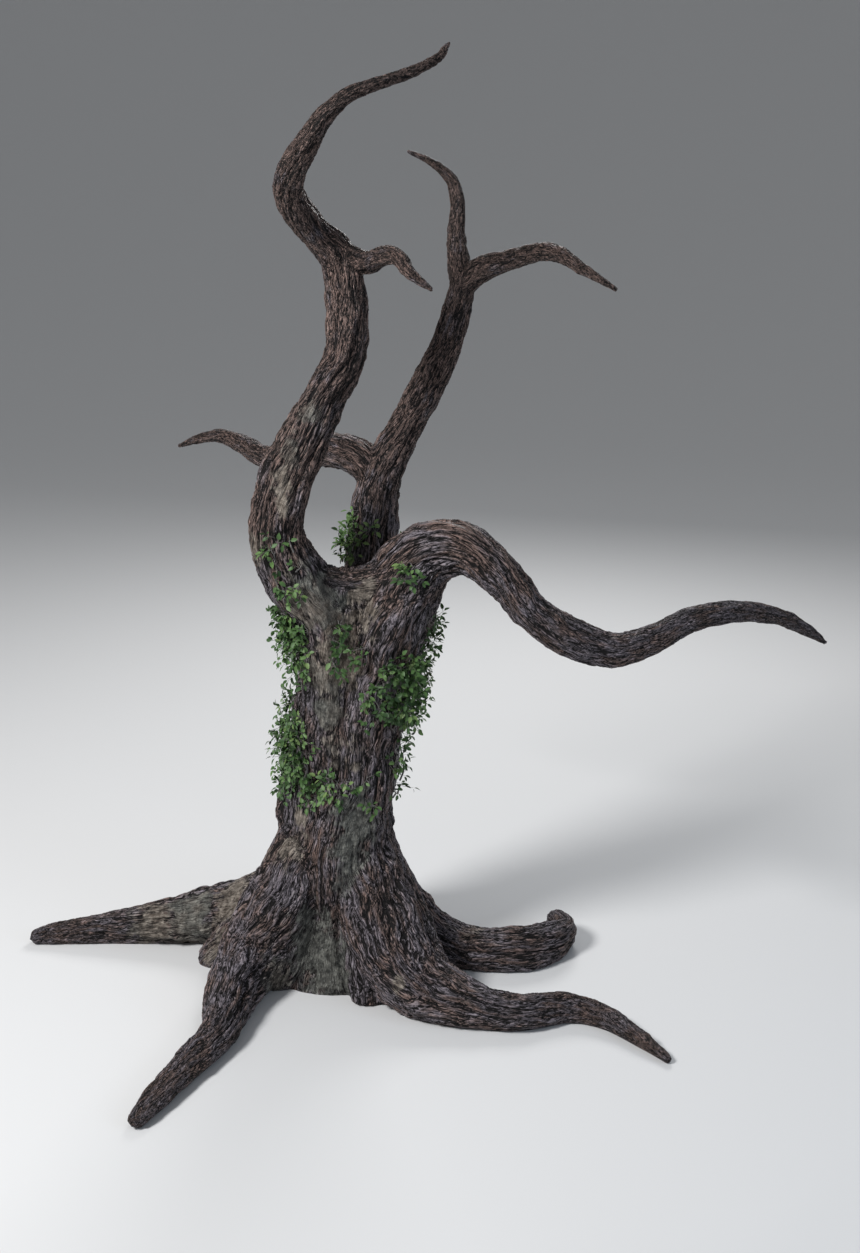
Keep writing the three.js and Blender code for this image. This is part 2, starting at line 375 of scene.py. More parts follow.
def choose(*objects):
    """Only these are selected, and the first is active."""
    bpy.ops.object.select_all(action="DESELECT")
    for thing in objects:
        thing.select_set(True)
    bpy.context.view_layer.objects.active = objects[0]


def edit(piece):
    choose(piece)
    bpy.ops.object.mode_set(mode="EDIT")
    bpy.ops.mesh.select_all(action="SELECT")


def finish_modifier(piece, kind, **settings):
    choose(piece)
    modifier = piece.modifiers.new(kind.lower(), kind)
    for name, value in settings.items():
        setattr(modifier, name, value)
    bpy.ops.object.modifier_apply(modifier=modifier.name)


# %% One tube for each limb
POLE = 0.99999  # only the end points of a sphere of radius 1 are higher than this


def grow_tube(strand):
    rings = len(strand.centre)
    bpy.ops.mesh.primitive_uv_sphere_add(segments=SIDES, ring_count=rings + 1)
    tube = bpy.context.object
    round_points = points_of(tube.data)
    level = np.arccos(np.clip(round_points[:, 2], -1, 1)) / math.pi * (rings + 1)
    ring = np.clip(np.rint(level).astype(int) - 1, 0, rings - 1)
    angle = np.arctan2(round_points[:, 1], round_points[:, 0])
    turned = angle + strand.turn[ring]
    lobes = 1 + SECOND_LOBE * np.cos(2 * turned) + THIRD_LOBE * np.cos(3 * turned + 1)
    reach = (strand.radius[ring] * lobes)[:, None]
    points = strand.centre[ring] + reach * (
        np.cos(angle)[:, None] * strand.across[ring] + np.sin(angle)[:, None] * strand.beyond[ring]
    )
    first_pole = round_points[:, 2] > POLE
    last_pole = round_points[:, 2] < -POLE
    points[first_pole] = strand.centre[0]
    points[last_pole] = strand.centre[-1] + strand.along[-1] * strand.radius[-1] * TIP_SHARE
    move_points(tube.data, points)
    return tube


tubes = [grow_tube(strand) for strand in strands]
choose(*tubes)
bpy.ops.object.join()
wood = bpy.context.object
wood.name = "wood"
print("tubes joined:", len(wood.data.polygons), "faces")

# %% [markdown]
# The tubes cross each other inside. A voxel remesh keeps only the outer skin and gives it small even
# squares, which the bark's relief needs.

# %% One skin
FINE_VOXEL = 0.0064
VOXEL = FINE_VOXEL
finish_modifier(wood, "REMESH", mode="VOXEL", voxel_size=VOXEL, use_smooth_shade=True)
finish_modifier(wood, "SMOOTH", factor=0.5, iterations=4)
print("skin:", len(wood.data.vertices), "points")

# %% [markdown]
# Next, each point of the skin is told where it lies on the strands near it: how far along, and where in the
# section. A point on one limb follows that limb. Where limbs meet, it shares itself out between them, so
# that the grain runs from the trunk into each root without a seam.


# %% Which strand a point follows
REACH = 1.9  # a strand is felt this many radii from its centre
CHUNK = 20000  # points placed at a time
NUMBER, CLOSENESS, SIDE, DEEP, RADIUS, SIZE, LENGTH, IN_RADII, IN_PLATES = range(9)  # columns of a table


def place_on(strand, points):
    """Where points lie on a strand, one row for each: its columns are named above."""
    margin = strand.radius.max() * REACH
    low = strand.centre.min(0) - margin
    high = strand.centre.max(0) + margin
    near = np.flatnonzero(((points > low) & (points < high)).all(1))
    parts = []
    for chunk in np.array_split(near, max(1, len(near) // CHUNK)):
        square = ((points[chunk][:, None, :] - strand.centre[None]) ** 2).sum(2)
        here = square.argmin(1)
        offset = points[chunk] - strand.centre[here]
        ahead = (offset * strand.along[here]).sum(1)
        there = np.clip(here + np.sign(ahead).astype(int), 0, len(strand.centre) - 1)
        other = points[chunk] - strand.centre[there]
        back = (other * strand.along[there]).sum(1)
        share = np.where(here == there, 0, np.clip(ahead / np.where(ahead == back, 1, ahead - back), 0, 1))
        past_end = np.where(here == there, ahead, 0)

        def between(values):
            return values[here] * (1 - share) + values[there] * share

        def part_along(axes):
            return (offset * axes[here]).sum(1) * (1 - share) + (other * axes[there]).sum(1) * share

        side = part_along(strand.across)
        deep = part_along(strand.beyond)
        radius = between(strand.radius)
        closeness = np.sqrt(side**2 + deep**2 + past_end**2) / radius
        size = between(strand.girth_size)
        parts.append(
            np.column_stack([
                chunk, closeness, side, deep, radius, size, between(strand.length) + past_end,
                between(strand.length_in_radii) + past_end / radius,
                between(strand.length_in_plates) + past_end / (PLATE_LENGTH * size),
            ])
        )
    table = np.vstack(parts)
    return table[table[:, CLOSENESS] < REACH]


# %% How strands share a point
SHARE_WIDTH = 0.16  # how quickly one strand takes over from another, in radii
MEETING_WIDTH = 0.3  # a meeting fades over this much of the gap between two strands, in radii
MEETING_LEAD = 1.5  # and ends where the gap is this many widths


def share_out(points):
    """For each strand the table of the points that it holds, with its share of each as a last column."""
    tables = [place_on(strand, points) for strand in strands]
    closest = np.full(len(points), np.inf)
    for table in tables:
        number = table[:, NUMBER].astype(int)
        closest[number] = np.minimum(closest[number], table[:, CLOSENESS])
    total = np.zeros(len(points))
    weights = []
    for table in tables:
        number = table[:, NUMBER].astype(int)
        weight = np.clip(1 - (table[:, CLOSENESS] - closest[number]) / SHARE_WIDTH, 0, 1) ** 2
        total[number] += weight
        weights.append(weight)
    held = []
    for table, weight in zip(tables, weights):
        keep = weight > 0
        number = table[keep, NUMBER].astype(int)
        held.append(np.column_stack([table[keep], weight[keep] / total[number]]))
    return held


def meeting_mask(points):
    """1 where two limbs meet, 0 where a point has one limb to itself."""
    tables = [place_on(strand, points) for strand in strands]
    ranks = np.full((2, len(points)), np.inf)
    for table in tables:
        number = table[:, NUMBER].astype(int)
        value = table[:, CLOSENESS]
        ranks[1, number] = np.minimum(ranks[1, number], np.maximum(ranks[0, number], value))
        ranks[0, number] = np.minimum(ranks[0, number], value)
    return np.clip(MEETING_LEAD - (ranks[1] - ranks[0]) / MEETING_WIDTH, 0, 1)


# %% Melt the creases where limbs meet
MELT_STEPS = 66
LEAST_STEPS = 10
LEVELS = 8  # of melting, from none to all
steps = round(MELT_STEPS * (FINE_VOXEL / VOXEL) ** 2) + LEAST_STEPS
mask = meeting_mask(points_of(wood.data))
group = wood.vertex_groups.new(name="meeting")
for level in range(1, LEVELS + 1):
    chosen = np.flatnonzero(np.rint(mask * LEVELS) == level)
    group.add(chosen.tolist(), level / LEVELS, "REPLACE")
finish_modifier(wood, "SMOOTH", factor=0.5, vertex_group="meeting", iterations=steps)
wood.vertex_groups.clear()
print("share of the skin near a meeting:", round(float(mask.mean()), 2))

# %% [markdown]
# The tree stands on level ground, so everything under it is cut away.

# %% Cut at the ground
STANDING = 0.00001  # a point this low stands on the ground
edit(wood)
bpy.ops.mesh.bisect(plane_co=(0, 0, 0), plane_no=(0, 0, 1), clear_inner=True, threshold=STANDING)
bpy.ops.mesh.select_all(action="SELECT")
bpy.ops.mesh.quads_convert_to_tris(quad_method="FIXED", ngon_method="BEAUTY")
bpy.ops.object.mode_set(mode="OBJECT")
print("above ground:", len(wood.data.polygons), "triangles")

# %% [markdown]
# Bark cracks into long ridges because the wood under it grows and the bark doesn't. Blender's own
# displacement modifier has no way to follow a grain, so the relief is worked out with arrays: smooth noise,
# stretched along the grain. A crack runs wherever the noise passes through zero.


# %% Noise
def scramble(x, y, z, seed):
    """A random number from 0 to 1 for each whole-number place. The large factors stir its bits."""
    mixed = (x * 374761393 + y * 668265263 + z * 1442695041 + seed * 1274126177) & 0xFFFFFFFF
    mixed = ((mixed ^ (mixed >> 13)) * 1274126177) & 0xFFFFFFFF
    mixed = ((mixed ^ (mixed >> 15)) * 2246822519) & 0xFFFFFFFF
    return ((mixed ^ (mixed >> 16)) & 0xFFFFFF) / 0x1000000


EDGES = np.array([
    way for way in itertools.product((-1, 0, 1), repeat=3) if sum(map(abs, way)) == 2
], float)  # the twelve directions that a slope can have
SPAN = 1.4  # brings the noise to about -1 to 1


def noise(places, seed):
    """Smooth noise, made of a random slope at each whole-number place."""
    corner = np.floor(places)
    share = places - corner
    blend = share * share * (3 - 2 * share)
    x, y, z = corner.astype(np.int64).T
    total = np.zeros(len(places))
    for step in itertools.product((0, 1), repeat=3):
        i, j, k = step
        weight = np.prod([blend[:, n] if on else 1 - blend[:, n] for n, on in enumerate(step)], axis=0)
        slope = EDGES[(scramble(x + i, y + j, z + k, seed) * len(EDGES)).astype(int)]
        total += weight * (slope * (share - step)).sum(1)
    return SPAN * total


def rough_noise(places, seed, octaves):
    """Noise with finer and weaker noise on it."""
    total = np.zeros(len(places))
    for octave in range(octaves):
        total += noise(places * 2.03**octave, seed + octave) / 2**octave
    return total


def ramp(values, low, high):
    """0 below `low`, 1 above `high`, and smooth from one to the other."""
    share = np.clip((values - low) / (high - low), 0, 1)
    return share * share * (3 - 2 * share)


# %% [markdown]
# Flutes run the length of a limb, as thick as a quarter of it. Lumps are as large as a fist. The ridges of
# the bark have three widths: bundles as wide as a hand, ridges as wide as a thumb inside them, and narrow
# ones inside those. Where the old bark has come away the wood is smooth and pale: those places are listed,
# with their reach and their colour.

# %% Bare places
RAG = 0.32  # how ragged their edges are
RAG_SIZE = 0.07
SQUAT = 0.55  # below 1, they are taller than wide
BARE_PLACES = [  # x, y, z, reach in metres, how green it is and how bare, from 0 to 1
    (-0.30, -0.36, 2.96, 0.075, 0.0, 1.0), (-0.29, -0.36, 2.87, 0.06, 0.0, 1.0),
    (-0.24, -0.33, 3.12, 0.08, 0.4, 0.7), (-0.13, -0.30, 3.34, 0.09, 0.5, 0.7),
    (-0.47, -0.30, 2.58, 0.10, 0.0, 0.7), (-0.20, -0.34, 2.33, 0.16, 0.5, 0.9),
    (-0.06, -0.34, 2.31, 0.18, 0.6, 1.0), (0.10, -0.32, 2.27, 0.15, 0.2, 1.0),
    (-0.02, -0.30, 2.12, 0.14, 0.1, 1.0), (0.02, -0.27, 1.93, 0.12, 0.1, 1.0),
    (-0.09, -0.28, 1.86, 0.15, 0.4, 1.0), (-0.08, -0.29, 1.66, 0.15, 0.5, 1.0),
    (-0.07, -0.30, 1.48, 0.13, 0.4, 0.9), (0.04, -0.30, 1.42, 0.10, 0.0, 1.0),
    (-0.30, -0.22, 1.03, 0.11, 0.0, 1.0), (-0.33, -0.22, 0.84, 0.12, 0.3, 0.8),
    (0.06, -0.31, 1.02, 0.18, 0.8, 1.0), (0.02, -0.31, 0.86, 0.14, 0.7, 0.9),
    (0.00, -0.31, 0.68, 0.10, 0.9, 0.7), (-0.20, -0.32, 0.24, 0.22, 0.9, 0.9),
    (-0.10, -0.36, 0.10, 0.24, 0.9, 0.9), (0.02, -0.30, 0.22, 0.14, 0.9, 0.8),
    (-0.50, 0.02, 0.58, 0.20, 0.1, 0.9), (-0.72, 0.10, 0.38, 0.24, 0.2, 0.9),
    (-0.98, 0.12, 0.24, 0.24, 0.6, 0.9), (-1.22, 0.12, 0.16, 0.20, 0.4, 0.8),
    (-0.56, -0.26, 0.20, 0.12, 0.3, 0.6), (0.30, -0.70, 0.24, 0.06, 0.1, 0.8),
    (-0.17, -0.04, 4.30, 0.06, 0.1, 0.8), (0.12, -0.14, 3.92, 0.08, 0.3, 0.4),
    (0.30, 0.30, 0.60, 0.16, 0.4, 0.7), (-0.25, 0.34, 1.00, 0.18, 0.6, 0.8),
    (0.10, 0.33, 1.70, 0.15, 0.3, 0.7), (-0.30, 0.20, 2.10, 0.13, 0.5, 0.7),
    (0.40, 0.25, 1.20, 0.14, 0.2, 0.6), (0.60, 0.62, 3.30, 0.09, 0.4, 0.6),
    (1.30, -0.30, 2.20, 0.08, 0.2, 0.4), (0.05, 0.72, 0.15, 0.18, 0.8, 0.8),
    (0.75, -0.05, 0.22, 0.10, 0.3, 0.5), (-0.42, -0.42, 0.08, 0.16, 0.5, 0.8),
    (-0.78, -0.14, 0.14, 0.15, 0.2, 0.8), (-0.62, -0.17, 0.30, 0.14, 0.2, 0.7),
]


def bare_patches(points):
    """How bare the wood is at each point, and how green."""
    wobble = RAG * rough_noise(points / RAG_SIZE, 71, 3)
    bare = np.zeros(len(points))
    green = np.zeros(len(points))
    for x, y, z, reach, greenness, strength in BARE_PLACES:
        offset = points - (x, y, z)
        offset[:, 2] *= SQUAT
        here = strength * ramp(1 - np.linalg.norm(offset, axis=1) / reach + wobble, 0.0, 0.7)
        green = np.where(here > bare, greenness, green)
        bare = np.maximum(bare, here)
    return bare, green


# %% Flutes and ridges
BUNDLES = 0.32  # the height of the ridges has three parts, as wide as a hand, a thumb, and less
WIDE = 0.46
NARROW = 0.22


def relief_on(table):
    """The parts of the relief, and the place in the grain, for the points that one strand holds."""
    side, deep, radius, size = table[:, SIDE:LENGTH].T
    in_radii, in_plates = table[:, IN_RADII:IN_PLATES + 1].T
    wind = GRAIN_TURN * in_radii
    side, deep = side * np.cos(wind) - deep * np.sin(wind), side * np.sin(wind) + deep * np.cos(wind)
    section = np.column_stack([side / radius, deep / radius, in_radii])
    fold = noise(section * (1.5, 1.5, 0.20), 5) + 0.5 * noise(section * (3.1, 3.1, 0.42), 6)
    flutes = 1.6 * (np.abs(fold) - 0.3)
    grain = np.column_stack([side, deep, np.zeros_like(side)]) / (PLATE_WIDTH * size[:, None])
    grain[:, 2] = in_plates

    def sway(seed):
        return noise(grain * (0.22, 0.22, 0.6), seed) + 0.3 * noise(grain * (0.6, 0.6, 2.0), seed + 1)

    bent = grain + np.column_stack([sway(21), sway(23), 0.2 * noise(grain * (0.4, 0.4, 0.6), 25)])
    bundle = np.abs(noise(bent * (0.26, 0.26, 0.22), 30))
    wide = np.abs(noise(bent * (0.68, 0.68, 0.42), 31) + 0.22 * noise(bent * (1.5, 1.5, 1.3), 32))
    narrow = np.abs(noise(bent * (1.2, 1.2, 0.9), 33))
    plate = BUNDLES * ramp(bundle, 0.0, 0.3) + WIDE * ramp(wide, 0.02, 0.36) + NARROW * ramp(narrow, 0.0, 0.3)
    soft_tint = noise(bent * (0.5, 0.5, 0.5), 41) + 0.6 * noise(bent * (1.1, 1.1, 1.0), 42)
    return flutes, plate, soft_tint, size, bent


# %% Raise the bark
FLUTE = 0.10  # depth of the flutes, as a share of the radius
LUMP = 0.0075
LUMP_WIDTH = 0.085  # from one lump to the next
CRACK = 0.019
PLATE_LEVEL = 0.6  # a plate's height that neither rises nor sinks
LOST = 0.75  # bare wood has lost this share of the ridges
LEFT = 0.1  # share of the relief that is left at the ground
FADE = 0.03  # height over which it dies away
CLEARANCE = 0.0003  # all other points keep this far above the ground
points = points_of(wood.data)
held = share_out(points)
count = len(points)
flutes, plates, tint, sizes, radii = (np.zeros(count) for _ in range(5))
flow = np.zeros((count, 3))
strongest = np.zeros(count)
for table in held:
    number = table[:, NUMBER].astype(int)
    weight = table[:, -1]
    flute, plate, soft_tint, size, bent = relief_on(table)
    flutes[number] += weight * flute
    plates[number] += weight * plate
    tint[number] += weight * soft_tint
    sizes[number] += weight * size
    radii[number] += weight * table[:, RADIUS]
    lead = weight > strongest[number]
    chosen = number[lead]
    strongest[chosen] = weight[lead]
    flow[chosen] = bent[lead]

bare, green = bare_patches(points)
lumps = rough_noise(points / LUMP_WIDTH, 61, 2)
rough = 1 - LOST * bare
height = (
    FLUTE * radii * flutes
    + LUMP * sizes * lumps
    + CRACK * sizes * rough * (plates - PLATE_LEVEL)
)
height *= LEFT + (1 - LEFT) * ramp(points[:, 2], 0.0, FADE)
normals = read_all(wood.data.vertex_normals, "vector", np.float32, 3).reshape(-1, 3)
raised = points + normals * height[:, None]
raised[:, 2] = np.where(points[:, 2] < STANDING, 0, np.maximum(raised[:, 2], CLEARANCE))
move_points(wood.data, raised)
print("relief from", round(height.min() / MM, 1), "to", round(height.max() / MM, 1), "mm")
print("lowest point:", raised[:, 2].min())


# %% Keep what the material needs
def keep(name, values):
    """Stores a number or a vector with each point, where the material can read it."""
    kind = "FLOAT_VECTOR" if values.ndim == 2 else "FLOAT"
    field = "vector" if values.ndim == 2 else "value"
    attribute = wood.data.attributes.new(name, kind, "POINT")
    attribute.data.foreach_set(field, np.ascontiguousarray(values, np.float32).ravel())


keep("plate", plates)
keep("tint", tint - 1.1 * ramp(points[:, 2], 2.2, 3.4))  # the crown is redder
keep("bare", bare)
keep("green", green)
keep("flow", flow)
depsgraph = bpy.context.evaluated_depsgraph_get()
bark_tree = BVHTree.FromObject(wood, depsgraph)
print("kept with each point:", [item.name for item in wood.data.attributes])

# %% [markdown]
# Old bark is red-brown where a ridge is fresh, and cool grey where it has weathered. In the cracks it is
# nearly black: partly the dark inner bark, and partly painted shade for the hollows. The material reads the
# relief that is stored with each point, and adds cracks, streaks and pores too small to model. Bare wood is
# beige, or grey-green where algae grow on it.

# %% Bark material
bark = Shader("bark")
plate, tint_here, bare_here, green_here = map(bark.attribute, ("plate", "tint", "bare", "green"))
grain_flow = bark.attribute("flow", "Vector")
where = bark.place()


def lines(scale, detail, width):
    """0 along thin lines that wind with the grain, and 1 between them."""
    offset = bark.noise(bark.stretch(grain_flow, scale), 1.0, detail, 0.6) - 0.5
    return offset.maths("ABSOLUTE", offset).between(0.0, width)


cracks = lines((1.5, 1.5, 1.15), 2.0, 0.10)
streaks = bark.noise(bark.stretch(grain_flow, (2.4, 2.4, 2.0)), 1.0, 3.0, 0.6)
specks = bark.noise(where, 120.0, 3.0, 0.6)
blotches = bark.noise(where, 5.5, 3.0, 0.5)
stain = bark.noise(where, 26.0, 5.0, 0.65)

tone = (streaks * 0.9 + specks * 0.35).between(0.45, 0.82)
red_brown = bark.mix(tone, (0.018, 0.012, 0.010, 1), (0.255, 0.172, 0.148, 1))
cool_grey = bark.mix(tone, (0.017, 0.015, 0.018, 1), (0.275, 0.240, 0.268, 1))
weathered = (tint_here * 0.32 + blotches * 1.3 + specks * 0.3).between(0.5, 1.0)
ridge = bark.mix(weathered, red_brown, cool_grey)
raised_here = plate * 0.62 + cracks * 0.38
open_here = (raised_here + (streaks - 0.5) * 0.6).between(0.45, 0.82)
# the cracks and low relief are near black: partly dark inner bark, and partly painted shade in the hollows
bark_with_crack_shade = bark.mix(open_here, (0.004, 0.003, 0.003, 1), ridge)
beige = bark.mix(stain.between(0.3, 0.7), (0.095, 0.074, 0.058, 1), (0.300, 0.260, 0.220, 1))
algae = bark.mix(stain.between(0.3, 0.7), (0.030, 0.032, 0.030, 1), (0.190, 0.190, 0.170, 1))
smooth_wood = bark.mix((green_here + (blotches - 0.5) * 1.1).between(0.25, 0.75), beige, algae)
worn = (bare_here * 1.1 - (1 - open_here) * 0.5 + (stain - 0.5) * 0.5).between(0.05, 0.85)
colour = bark.mix(worn, bark_with_crack_shade, smooth_wood)
relief = plate * 0.5 + cracks * 0.4 + streaks * 0.5 + specks * 0.22
bump = bark.add("ShaderNodeBump", {}, {"Strength": 1.0, "Distance": 0.014, "Height": relief}, "Normal")
bark_finish = bark.surface(
    Base_Color=colour, Roughness=0.82 - 0.36 * open_here, Normal=bump, Specular_IOR_Level=0.3
)
print("bark:", len(bark.nodes), "nodes")

# %% [markdown]
# The skin is cut into pieces: four lengths of the trunk, each root, and each stem. Each face is given to a
# piece by the strand that it follows, or by its height on the trunk, and each piece is closed where it was
# cut.

# %% Runs of open edges
ON_GROUND = 0.000001


def open_runs(work):
    """Each closed run of open edges, as points in order, wound so that a face on it faces out."""
    waiting = dict.fromkeys(edge for edge in work.edges if edge.is_boundary)
    while waiting:
        first = next(iter(waiting))
        del waiting[first]
        corner = first.link_loops[0]
        run = []
        while True:
            run.append(corner.link_loop_next.vert)
            corner = corner.link_loop_prev
            while not corner.edge.is_boundary:
                corner = corner.link_loop_radial_next.link_loop_prev
            if corner.edge == first:
                break
            waiting.pop(corner.edge, None)
        yield run


def without_pinches(run):
    """A run that meets itself in a point is parted there, so that no part has a point twice."""
    parts = []
    walked = []
    for point in run:
        if point in walked:
            start = walked.index(point)
            parts.append(walked[start:])
            del walked[start + 1:]
        else:
            walked.append(point)
    parts.append(walked)
    return parts


def parted_at_ground(run):
    """The level part of a run that is on the ground, and each part that rises from it."""
    low = [point.co.z < ON_GROUND for point in run]
    if all(low) or not any(low):
        return [run]
    start = low.index(True)
    level = []
    risen = []
    parts = [level]
    for point in run[start:] + run[:start + 1]:
        if point.co.z >= ON_GROUND:
            risen.append(point)
            continue
        if risen:
            parts.append([level[-1], *risen, point])
            risen = []
        level.append(point)
    level.pop()
    return parts


# %% Closing a piece
def close_piece(piece):
    """Closes a piece with level faces on the ground, and a fan of triangles across each cut."""
    work = bmesh.new()
    work.from_mesh(piece.data)
    loops = []
    for run in list(open_runs(work)):
        for walked in without_pinches(run):
            loops.extend(parted_at_ground(walked))
    level = []
    for loop in loops:
        if len(loop) < 3 or work.faces.get(loop):
            continue
        if max(point.co.z for point in loop) < ON_GROUND:
            level.append(work.faces.new(loop))
            continue
        middle = work.verts.new(sum((point.co for point in loop), Vector()) / len(loop))
        for point, after in zip(loop, loop[1:] + loop[:1]):
            work.faces.new((point, after, middle))
    bmesh.ops.triangulate(work, faces=level, quad_method="FIXED", ngon_method="EAR_CLIP")
    still_open = sum(edge.is_boundary for edge in work.edges)
    work.to_mesh(piece.data)
    work.free()
    return still_open


# %% Pieces of the wood
PIECES = {  # piece: its CAD nodes, and its strands, each with the length along it where the piece begins
    "trunk_base": (["trunk"], {}),
    "trunk_flare": (["trunk"], {}),
    "trunk_shaft": (["trunk"], {}),
    "trunk_fork": (["trunk"], {}),
    "left_root": (["root_left_thick", "root_left_end"], {"root_left": 3}),
    "front_left_root": (["root_front_left_thick", "root_front_left_end"], {"root_front_left": 3}),
    "front_right_root": (["root_front_right_thick", "root_front_right_end"], {"root_front_right": 2}),
    "right_root": (["root_right_thick", "root_right_hook"], {"root_right": 2}),
    "left_stem": (
        [
            "stem_left_low", "stem_left_middle", "stem_left_top", "crook_low", "crook_high", "crook_tip",
            "twig",
        ],
        {"stem_left": 4, "crook": 0, "twig": 0},
    ),
    "back_stem": (
        [
            "stem_back_low", "stem_back_high", "prong_up", "prong_up_tip", "prong_right", "prong_right_tip",
            "arm_back_low", "arm_back_middle", "arm_back_tip",
        ],
        {"stem_back": 2, "prong_up": 0, "prong_right": 0, "arm_back": 0},
    ),
    "right_bough": (
        ["bough_right_arch", "bough_right_fall", "bough_right_sweep", "bough_right_tip"],
        {"bough_right": 4},
    ),
}
TRUNK_CUTS = [0.42, 0.88, 1.72]  # heights where one part of the trunk ends and the next begins
print("pieces of wood:", len(PIECES))

# %% Which piece a point belongs to
strand_number = {strand.name: i for i, strand in enumerate(strands)}
final_points = points_of(wood.data)
tables = [place_on(strand, final_points) for strand in strands]
closest = np.full(len(final_points), np.inf)
leader = np.zeros(len(final_points), int)
place_along = np.zeros(len(final_points))
for index, table in enumerate(tables):
    number = table[:, NUMBER].astype(int)
    closer = table[:, CLOSENESS] < closest[number]
    closest[number[closer]] = table[closer, CLOSENESS]
    leader[number[closer]] = index
    place_along[number[closer]] = table[closer, LENGTH]

part = np.digitize(final_points[:, 2], TRUNK_CUTS)
for piece_number, (_, members) in enumerate(PIECES.values()):
    for name, start in members.items():
        index = strand_number[name]
        part[(leader == index) & (place_along >= strands[index].length[start * FINE])] = piece_number
print("points of each piece:", dict(zip(PIECES, np.bincount(part).tolist())))

# %% Cut the skin into its pieces
mesh = wood.data
first_corner = read_all(mesh.polygons, "loop_start", np.int32)
corners = read_all(mesh.loops, "vertex_index", np.int32)
mesh.materials.clear()
for name in PIECES:
    mesh.materials.append(bpy.data.materials.new("cut_" + name))
mesh.polygons.foreach_set("material_index", part[corners[first_corner]].astype(np.int32))
mesh.update()
edit(wood)
bpy.ops.mesh.separate(type="MATERIAL")
bpy.ops.object.mode_set(mode="OBJECT")
for cut in list(bpy.context.selected_objects):
    used = cut.data.materials[cut.data.polygons[0].material_index].name.removeprefix("cut_")
    cut.data.materials.clear()
    cut.data.materials.append(bark_finish)
    cut.name = used
    cut.data.name = used
    still_open = close_piece(cut)
    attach(cut, "root")
    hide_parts(*PIECES[used][0])
    triangles = sum(len(polygon.vertices) - 2 for polygon in cut.data.polygons)
    print(used, triangles, "triangles,", still_open, "open edges")

# %% [markdown]
# The creeper climbs by woody runners that cling to the bark. Short shoots stand out from them, and each
# shoot carries a spray of small oval leaves, the largest at its foot. One leaf is modelled from a grid: it
# is folded a little at its midrib, and it droops towards its point.

# %% One leaf
LEAF_ROWS = 6
LEAF_WIDTHS = [0.03, 0.20, 0.30, 0.28, 0.17, 0.02]  # half width from stalk to point, for a leaf of length 1
LEAF_LENGTHS = [0.0, 0.14, 0.36, 0.60, 0.84, 1.0]
STALK = 0.38
STALK_WIDTH = 0.018
FOLD = 0.3
DROOP = 0.24


def model_leaf():
    """A leaf of length 1 along +X, its face up, with its stalk behind it."""
    bpy.ops.mesh.primitive_grid_add(x_subdivisions=LEAF_ROWS, y_subdivisions=2, size=2)
    leaf = bpy.context.object
    points = points_of(leaf.data)
    row = np.rint((points[:, 0] + 1) / 2 * LEAF_ROWS).astype(int)
    lengths = np.array([-STALK] + LEAF_LENGTHS)
    widths = np.array([STALK_WIDTH] + LEAF_WIDTHS)
    across = points[:, 1] * widths[row]
    along = lengths[row]
    fold = FOLD * np.abs(across)
    droop = -DROOP * np.clip(along, 0, 1) ** 2 + 0.1 * np.clip(-along, 0, 1)
    move_points(leaf.data, np.column_stack([along, across, fold + droop]))
    shape = points_of(leaf.data)
    faces = [list(polygon.vertices) for polygon in leaf.data.polygons]
    bpy.data.objects.remove(leaf)
    return shape, faces


LEAF_SHAPE, LEAF_FACES = model_leaf()
print("one leaf:", len(LEAF_FACES), "faces")

# %% [markdown]
# A leaf's green is one plain colour, and the leaves of a spray share it: a deep green, a mid green, which
# is the commonest, a light one, or the yellow-green of a young shoot. Runners are grey-brown.

# %% Leaf and runner materials
GREENS = {
    "leaf_deep": (0.034, 0.074, 0.022, 1),
    "leaf_mid": (0.056, 0.114, 0.034, 1),
    "leaf_light": (0.090, 0.162, 0.050, 1),
    "leaf_young": (0.135, 0.205, 0.068, 1),
}
leaf_materials = []
for name, green_colour in GREENS.items():
    leaf_shader = Shader(name)
    leaf_materials.append(
        leaf_shader.surface(Base_Color=green_colour, Roughness=0.55, Specular_IOR_Level=0.35)
    )
runner = Shader("runner")
runner_tone = runner.noise(runner.place(), 60.0)
runner_colour = runner.mix(runner_tone.between(0.3, 0.7), (0.080, 0.073, 0.070, 1), (0.25, 0.235, 0.225, 1))
runner_finish = runner.surface(Base_Color=runner_colour, Roughness=0.85)
print("materials:", [*GREENS, runner.material.name])

# %% [markdown]
# The rule of growth: a runner starts on the bark low in its mass and creeps up in short steps, wandering
# from side to side and held to the bark. Every few steps it sends out a shoot, as long as the mass is deep
# there, and the shoot carries leaves on its two sides in turn. All draws come from one seeded source for
# each mass, so the creeper is the same each time.

# %% Measures of the creeper, and where the bark is
STEP = 0.014  # of a runner
MOST_STEPS = 70  # in the longest runner
CLING = 0.004  # height of a runner's middle above the bark
RUNNER_RADII = (0.0022, 0.0048)  # the thinnest and the thickest
SHOOT_STEP = 0.024
SHOOT_RADII = (0.0016, 0.0008)  # at its foot and at its tip
SHORTEST_SHOOT = 0.02
LONGEST_SHOOT = 0.20
LEAF_SIZES = (0.027, 0.046)
TIP_LEAF_SIZES = (0.026, 0.040)
OLD_STEPS = 60  # in the longest old stem
OLD_RADII = (0.006, 0.008)
OLD_HEIGHT = 0.024  # an old stem's height above the bark, and how far it swings from it
OLD_SWING = 0.016
EDGE = 0.02  # a stem has left its mass when a place this far above it is outside
UP = Vector((0, 0, 1))


def is_inside(skin, place):
    spot, normal, _, _ = skin.find_nearest(place)
    return (place - spot).dot(normal) < 0


def nearest_bark(place):
    spot, normal, _, _ = bark_tree.find_nearest(place)
    return spot, normal


